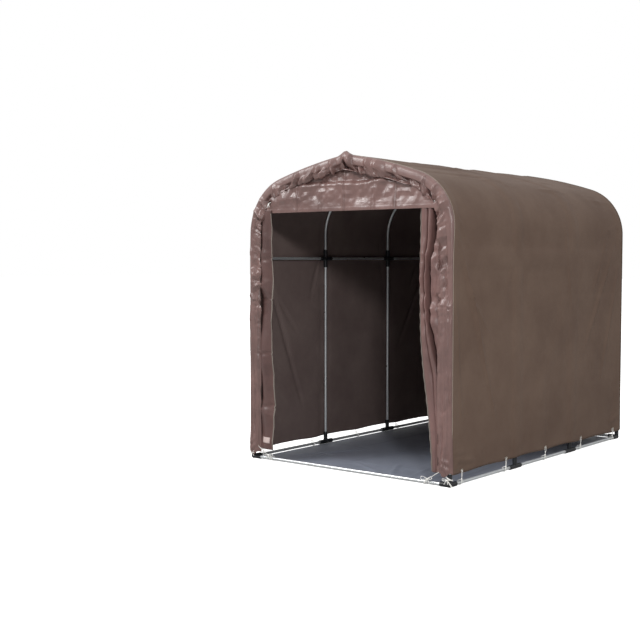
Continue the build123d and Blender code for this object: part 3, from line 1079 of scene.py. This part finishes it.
def tie_meshes(place, slant=0.0):
    """A doubled cord from its eyelet to a knot above the rail, and two turns round the rail."""
    meshes = []
    outer = cover_outside + 0.0022
    inner = cover_outside - 0.0065
    knot = (wrap + 0.0022, slant * knot_share, knot_up)
    for start, bend in ((outer - 0.001, outer + 0.0012), (inner, inner + 0.0015)):
        route = [
            (start, slant, eyelet_up),
            (bend, slant * 0.72, eyelet_up * 0.72),
            (knot[0] + 0.001, slant * 0.45, eyelet_up * 0.45),
            knot,
        ]
        meshes.append(tube("strand", [place(*point) for point in route], strand))
    for beside in (-0.0017, 0.0017):
        route = [
            (wrap + 0.002, knot[1] * 0.7 + beside, knot_up),
            (wrap, beside, -wrap),
            (-wrap, beside, -wrap),
            (-wrap, beside, wrap),
            (0.0, knot[1] * 0.5 + beside, wrap + 0.004),
        ]
        meshes.append(tube("turn", [place(*point) for point in route], strand, closed=True))
    for turn, lift in ((0.0, -0.0022), (0.9, 0.0006), (1.9, 0.0028)):
        ring = []
        for step in range(6):
            angle = turn + step * math.pi / 3
            ring.append(
                place(
                    knot[0] + 0.0030 * math.cos(angle),
                    knot[1] + 0.0042 * math.sin(angle),
                    knot[2] + lift + 0.0012 * math.sin(angle * 2),
                )
            )
        meshes.append(tube("knot", ring, strand, closed=True))
    for swing, drop in ((-0.006, 0.020), (0.008, 0.026)):
        ends = [
            place(*knot),
            place(knot[0] + 0.005, knot[1] + swing, knot[2] - drop * 0.4),
            place(knot[0] + 0.003, knot[1] + swing * 1.5, knot[2] - drop),
        ]
        meshes.append(tube("tail", ends, strand * 0.9))
    return meshes


def bow_meshes(place, centre, size):
    """Two loops and two hanging ends of a bow, tied in front of the rail."""
    shapes = [
        [(0, 0, 0), (0.004, -1.1, 0.55), (0.006, -1.6, 0.15), (0.005, -1.2, -0.35), (0.001, 0, 0)],
        [(0, 0, 0), (0.004, 0.8, 0.65), (0.006, 1.3, 0.45), (0.005, 1.1, -0.05), (0.001, 0, 0)],
        [(0, 0, 0), (0.005, -0.5, -0.7), (0.003, -0.9, -1.3)],
        [(0, 0, 0), (0.005, 0.45, -0.6), (0.003, 0.60, -1.25)],
    ]
    ground = 0.004 - base_height
    meshes = []
    for shape in shapes:
        route = [
            place(centre[0] + a, centre[1] + b * size, max(centre[2] + c * size, ground)) for a, b, c in shape
        ]
        meshes.append(tube("bow", route, strand))
    return meshes


def eyelet_mesh(place, along, up, out):
    ring = []
    for step in range(8):
        angle = step * math.pi / 4
        ring.append(place(out, along + eyelet_radius * math.cos(angle), up + eyelet_radius * math.sin(angle)))
    return tube("eyelet", ring, eyelet_wire, closed=True)


# Ties are laid out as distance out from the rail, along it and up from it, at a place on one of the sides

def on_side(side, y):
    return lambda out, along, up: Vector((side * (half_width + out), y + along, base_height + up))


def on_front(side, x):
    return lambda out, along, up: Vector((side * (x + along), front_hoop - out, base_height + up))


def on_rear(x):
    return lambda out, along, up: Vector((x + along, rear_hoop + out, base_height + up))


eyelets = []
for side, word in ((-1, "left"), (1, "right")):
    cords = []
    for y in tie_places:
        cords += tie_meshes(on_side(side, y))
        eyelets.append(eyelet_mesh(on_side(side, y), 0.0, eyelet_up, cover_outside + 0.001))
    ties = joined(f"side_ties_{word}", cords)
    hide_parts(f"tie_cords_{word}")
    dress(ties, "white_cord", cord_fibre)

front_tie_slant = 0.115
front_tie_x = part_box("tie_cords_front")[1].x - strand - front_tie_slant
# Half the width of the loop round the upright arm of a corner joint
arm = 0.0165
cords = []
for side in (-1, 1):
    place = on_front(side, front_tie_x)
    cords += tie_meshes(place, front_tie_slant)
    cords += bow_meshes(place, (wrap + 0.006, front_tie_slant * knot_share, knot_up + 0.001), 0.028)
    eyelets.append(eyelet_mesh(place, front_tie_slant, eyelet_up, cover_outside + 0.004))
    # A second cord goes from the corner eyelet round the upright arm of the corner joint
    corner = on_front(side, half_width)
    for lift in (0.0, 0.0036):
        route = [
            (cover_outside + 0.003, -0.028, 0.071),
            (cover_outside + 0.005, -0.020, 0.050 + lift),
            (arm + 0.002, arm, 0.030 + lift),
            (-arm, arm, 0.026 + lift),
            (-arm, -arm, 0.028 + lift),
            (arm + 0.002, -arm - 0.002, 0.032 + lift),
            (arm + 0.006, 0.000, 0.026 + lift),
            (arm + 0.003, 0.015, 0.006 + lift),
            (arm + 0.002, 0.022 + 3 * lift, -0.008),
        ]
        cords.append(tube("corner_cord", [corner(*point) for point in route], strand))
    cords += bow_meshes(corner, (arm + 0.006, -0.006, 0.030), 0.018)
    eyelets.append(eyelet_mesh(corner, -0.028, 0.072, cover_outside + 0.004))
front_ties = joined("front_ties", cords)
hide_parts("tie_cords_front")
dress(front_ties, "white_cord", cord_fibre)

rear_low, rear_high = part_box("tie_cords_rear")
cords = []
for number in range(4):
    x = rear_low.x + strand + number * (rear_high.x - rear_low.x - 2 * strand) / 3
    cords += tie_meshes(on_rear(x))
    eyelets.append(eyelet_mesh(on_rear(x), 0.0, eyelet_up, cover_outside + 0.001))
rear_ties = joined("rear_ties", cords)
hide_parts("tie_cords_rear")
dress(rear_ties, "white_cord", cord_fibre)
dress(joined("eyelets", eyelets), "white_cord", eyelet_metal)

# Ends of the band's draw cord, knotted where the arch meets the left upright
draw_radius = 0.0020
draw_at = Vector((-0.586, front_hoop - band_out - 0.004, 1.622))
draw_routes = [
    [(-0.012, 0.004, 0.010), (-0.002, -0.004, 0.004), (0.004, -0.006, -0.003), (-0.004, -0.008, -0.007)],
    [(0.010, 0.004, 0.012), (0.001, -0.006, 0.003), (-0.005, -0.007, -0.002), (0.003, -0.009, -0.006)],
    [(0.0, -0.006, 0.0), (-0.008, -0.009, -0.010), (-0.012, -0.006, -0.024)],
    [(0.0, -0.006, 0.0), (0.006, -0.010, -0.009), (0.006, -0.006, -0.019)],
]
draws = [tube("draw", [draw_at + Vector(point) for point in route], draw_radius) for route in draw_routes]
draw_knot = joined("draw_cord_knot", draws)
dress(draw_knot, "white_cord", cord_fibre)


# Stage, lights and camera

def plain_floor():
    """Pale floor: the camera sees it lifted to white, with the shadow, and as light it is a duller white."""
    made = bmesh.new()
    bmesh.ops.create_grid(made, x_segments=1, y_segments=1, size=60)
    mesh = bpy.data.meshes.new("stage_floor")
    made.to_mesh(mesh)
    made.free()
    stage_floor = new_piece("stage_floor", mesh)
    material, tree, shader = new_material("stage_floor_white")
    path = node(tree, "ShaderNodeLightPath")
    seen = path.outputs["Is Camera Ray"]
    lift = node(tree, "ShaderNodeMath", {"operation": "MULTIPLY", 1: 0.75}, {0: seen})
    tree.links.new(lift.outputs[0], shader.inputs["Emission Strength"])
    shader.inputs["Emission Color"].default_value = (1, 1, 1, 1)
    tone = node(
        tree, "ShaderNodeMix", {"data_type": "RGBA", 6: linear("#bcbcba"), 7: linear("#f4f4f4")}, {0: seen}
    )
    tree.links.new(tone.outputs[2], shader.inputs["Base Color"])
    shader.inputs["Roughness"].default_value = 0.9
    shader.inputs["Specular IOR Level"].default_value = 0.0
    mesh.materials.append(material)


def backdrop():
    """Plain white to the camera; as light, bright overhead and dimmer towards the horizon."""
    world = bpy.data.worlds.new("studio")
    world.use_nodes = True
    tree = world.node_tree
    tree.nodes.clear()
    path = node(tree, "ShaderNodeLightPath")
    way = node(tree, "ShaderNodeTexCoord").outputs["Generated"]
    parts = node(tree, "ShaderNodeSeparateXYZ", links={"Vector": way})
    overhead = node(
        tree,
        "ShaderNodeMapRange",
        {"From Min": -0.1, "From Max": 1.0, "To Min": 0.24, "To Max": 1.0},
        {"Value": parts.outputs["Z"]},
    )
    light = node(tree, "ShaderNodeBackground", {"Color": (1, 1, 1, 1)}, {"Strength": overhead.outputs[0]})
    seen = node(tree, "ShaderNodeBackground", {"Color": (1, 1, 1, 1), "Strength": 1.0})
    mix = node(
        tree,
        "ShaderNodeMixShader",
        links={0: path.outputs["Is Camera Ray"], 1: light.outputs[0], 2: seen.outputs[0]},
    )
    node(tree, "ShaderNodeOutputWorld", links={"Surface": mix.outputs[0]})
    scene.world = world


def lamp(name, place, target, size, power):
    light = bpy.data.lights.new(name, "AREA")
    light.shape = "DISK"
    light.size = size
    light.energy = power
    holder = bpy.data.objects.new(name, light)
    scene.collection.objects.link(holder)
    holder.location = place
    holder.rotation_euler = (Vector(target) - Vector(place)).to_track_quat("-Z", "Y").to_euler()


plain_floor()
backdrop()
lamp("key", (-3.8, -4.6, 5.2), (0, -0.8, 1.0), 3.0, 290)
lamp("door_fill", (4.6, -5.6, 3.6), (-0.4, -0.4, 0.4), 0.8, 150)
lamp("side_fill", (6.5, 0.5, 3.8), (0, 0, 0.9), 2.0, 30)

# The photograph's viewpoint: place in metres, then how far it looks down and turns left, in radians
camera_place = (4.055, -6.325, 1.279)
camera_down = 0.055
camera_left = 0.683
focal_pixels = 1106.9
image_pixels = 640
sensor_width = 36
camera_data = bpy.data.cameras.new("camera")
camera_data.sensor_width = sensor_width
camera_data.lens = focal_pixels / image_pixels * sensor_width
camera = bpy.data.objects.new("camera", camera_data)
scene.collection.objects.link(camera)
camera.location = camera_place
camera.rotation_euler = (math.pi / 2 - camera_down, 0, camera_left)
scene.camera = camera
scene.view_settings.view_transform = "Standard"
